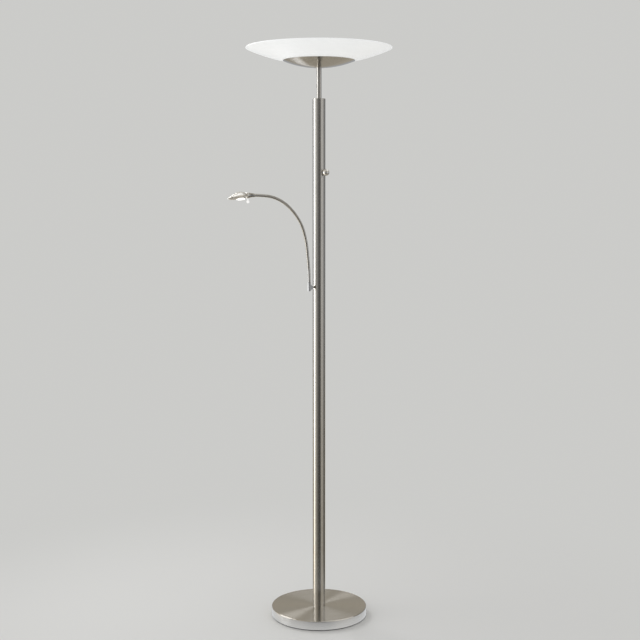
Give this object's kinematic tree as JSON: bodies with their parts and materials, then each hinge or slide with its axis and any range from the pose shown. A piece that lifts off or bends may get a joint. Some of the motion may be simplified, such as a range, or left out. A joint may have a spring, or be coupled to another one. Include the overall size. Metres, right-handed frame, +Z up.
{
  "type": "torchiere floor lamp with reading light",
  "caption": "Uplighter floor lamp: round weighted base, straight pole, glass bowl on a steel cup, side dimmer knob and a gooseneck arm with a small reading light.",
  "frame": {"origin": "middle of the underside of the base, on the floor", "axes": "+Z up along the pole; the reading arm leaves towards -X, the dimmer knob faces -Y and the cord inlet is at +Y"},
  "size_m": [0.608, 0.459, 1.8299],
  "materials": {
    "brushed_steel": "finely brushed, warm grey, circular on the base and cup",
    "pad_rubber": "matte black",
    "zinc_steel": "zinc plated",
    "grey_iron": "as cast",
    "cast_aluminium": "as cast",
    "frosted_glass": "white, satin frosted",
    "opal_plastic": "opal",
    "lit_chips": "phosphor yellow",
    "lit_lens": "clear lens over a lit chip",
    "circuit_board": "white solder mask",
    "black_plastic": "fine texture",
    "bright_steel": "polished nickel",
    "satin_aluminium": "satin nickel look"
  },
  "bodies": {
    "stand": {"base_pad": "pad_rubber", "base_bottom_plate": "zinc_steel", "base_cover": "brushed_steel", "base_weight": "grey_iron", "base_stud": "zinc_steel", "base_washer": "zinc_steel", "base_nut": "zinc_steel", "pole_foot_plug": "cast_aluminium", "cord_bushing": "pad_rubber", "pole_section_1": "brushed_steel", "pole_section_2": "brushed_steel", "pole_section_3": "brushed_steel", "pole_section_4": "brushed_steel", "pole_couplers": "cast_aluminium", "pole_top_cap": "brushed_steel", "stem_tube": "brushed_steel", "stem_locknut": "zinc_steel", "stem_nipple": "zinc_steel", "steel_cup": "brushed_steel", "glass_bowl": "frosted_glass", "bowl_gaskets": "pad_rubber", "uplight_heat_sink": "cast_aluminium", "cup_washer": "zinc_steel", "cup_nut": "zinc_steel", "uplight_board": "circuit_board", "uplight_board_screws": "zinc_steel", "uplight_chips": "lit_chips", "uplight_diffuser": "opal_plastic", "power_supply": "black_plastic", "power_supply_pad": "pad_rubber", "pole_leads": "black_plastic", "dimmer_body": "black_plastic", "dimmer_nut": "zinc_steel", "arm_bracket": "bright_steel", "bracket_nut": "zinc_steel"},
    "dimmer_control": {"dimmer_shaft": "zinc_steel", "dimmer_knob": "bright_steel"},
    "arm_foot": {"swivel_ferrule": "bright_steel", "swivel_screw": "zinc_steel", "gooseneck_link_1": "bright_steel"},
    "neck_2": {"gooseneck_link_2": "bright_steel"},
    "neck_3": {"gooseneck_link_3": "bright_steel"},
    "neck_4": {"gooseneck_link_4": "bright_steel"},
    "neck_5": {"gooseneck_link_5": "bright_steel"},
    "neck_6": {"gooseneck_link_6": "bright_steel"},
    "neck_7": {"gooseneck_link_7": "bright_steel"},
    "neck_8": {"gooseneck_link_8": "bright_steel"},
    "reading_head": {"head_collar": "bright_steel", "collar_grub_screw": "zinc_steel", "head_joint_ring": "black_plastic", "reading_head_shell": "satin_aluminium", "reading_head_cover": "satin_aluminium", "reading_head_screws": "zinc_steel", "reading_lens": "lit_lens", "reading_chip": "lit_chips", "reading_board": "circuit_board", "reading_heat_sink": "cast_aluminium", "reading_switch_body": "black_plastic"},
    "reading_switch": {"reading_switch_knob": "bright_steel", "reading_switch_shaft": "zinc_steel"}
  },
  "joints": [
    {"name": "arm_swivel", "type": "hinge", "parent": "stand", "child": "arm_foot", "pos_m": [-0.044, 0, 1.0913], "axis": [0, 0, 1], "range_deg": [-90, 90]},
    {"name": "neck_bend_1", "type": "hinge", "parent": "arm_foot", "child": "neck_2", "pos_m": [-0.04649, 0, 1.14892], "axis": [0, -1, 0], "range_deg": [-10, 10]},
    {"name": "neck_bend_2", "type": "hinge", "parent": "neck_2", "child": "neck_3", "pos_m": [-0.05283, 0, 1.20053], "axis": [0, -1, 0], "range_deg": [-10, 10]},
    {"name": "neck_bend_3", "type": "hinge", "parent": "neck_3", "child": "neck_4", "pos_m": [-0.06517, 0, 1.25097], "axis": [0, -1, 0], "range_deg": [-10, 10]},
    {"name": "neck_bend_4", "type": "hinge", "parent": "neck_4", "child": "neck_5", "pos_m": [-0.09045, 0, 1.29609], "axis": [0, -1, 0], "range_deg": [-10, 10]},
    {"name": "neck_bend_5", "type": "hinge", "parent": "neck_5", "child": "neck_6", "pos_m": [-0.12792, 0, 1.33197], "axis": [0, -1, 0], "range_deg": [-10, 10]},
    {"name": "neck_bend_6", "type": "hinge", "parent": "neck_6", "child": "neck_7", "pos_m": [-0.17335, 0, 1.35689], "axis": [0, -1, 0], "range_deg": [-10, 10]},
    {"name": "neck_bend_7", "type": "hinge", "parent": "neck_7", "child": "neck_8", "pos_m": [-0.22392, 0, 1.36834], "axis": [0, -1, 0], "range_deg": [-10, 10]},
    {"name": "head_roll", "type": "hinge", "parent": "neck_8", "child": "reading_head", "pos_m": [-0.27585, 0, 1.3706], "axis": [-1, 0, 0], "range_deg": [-90, 90]},
    {"name": "reading_switch_turn", "type": "hinge", "parent": "reading_head", "child": "reading_switch", "pos_m": [-0.30265, -0.00147, 1.36132], "axis": [0, -0.1564, -0.9877], "continuous": true},
    {"name": "dimmer_turn", "type": "hinge", "parent": "stand", "child": "dimmer_control", "pos_m": [0, -0.02295, 1.442], "axis": [0, -1, 0], "range_deg": [0, 280]}
  ],
  "couplings": [
    {"joint": "neck_bend_2", "follows": "neck_bend_1", "ratio": 1},
    {"joint": "neck_bend_3", "follows": "neck_bend_1", "ratio": 1},
    {"joint": "neck_bend_4", "follows": "neck_bend_1", "ratio": 1},
    {"joint": "neck_bend_6", "follows": "neck_bend_5", "ratio": 1},
    {"joint": "neck_bend_7", "follows": "neck_bend_5", "ratio": 1}
  ]
}
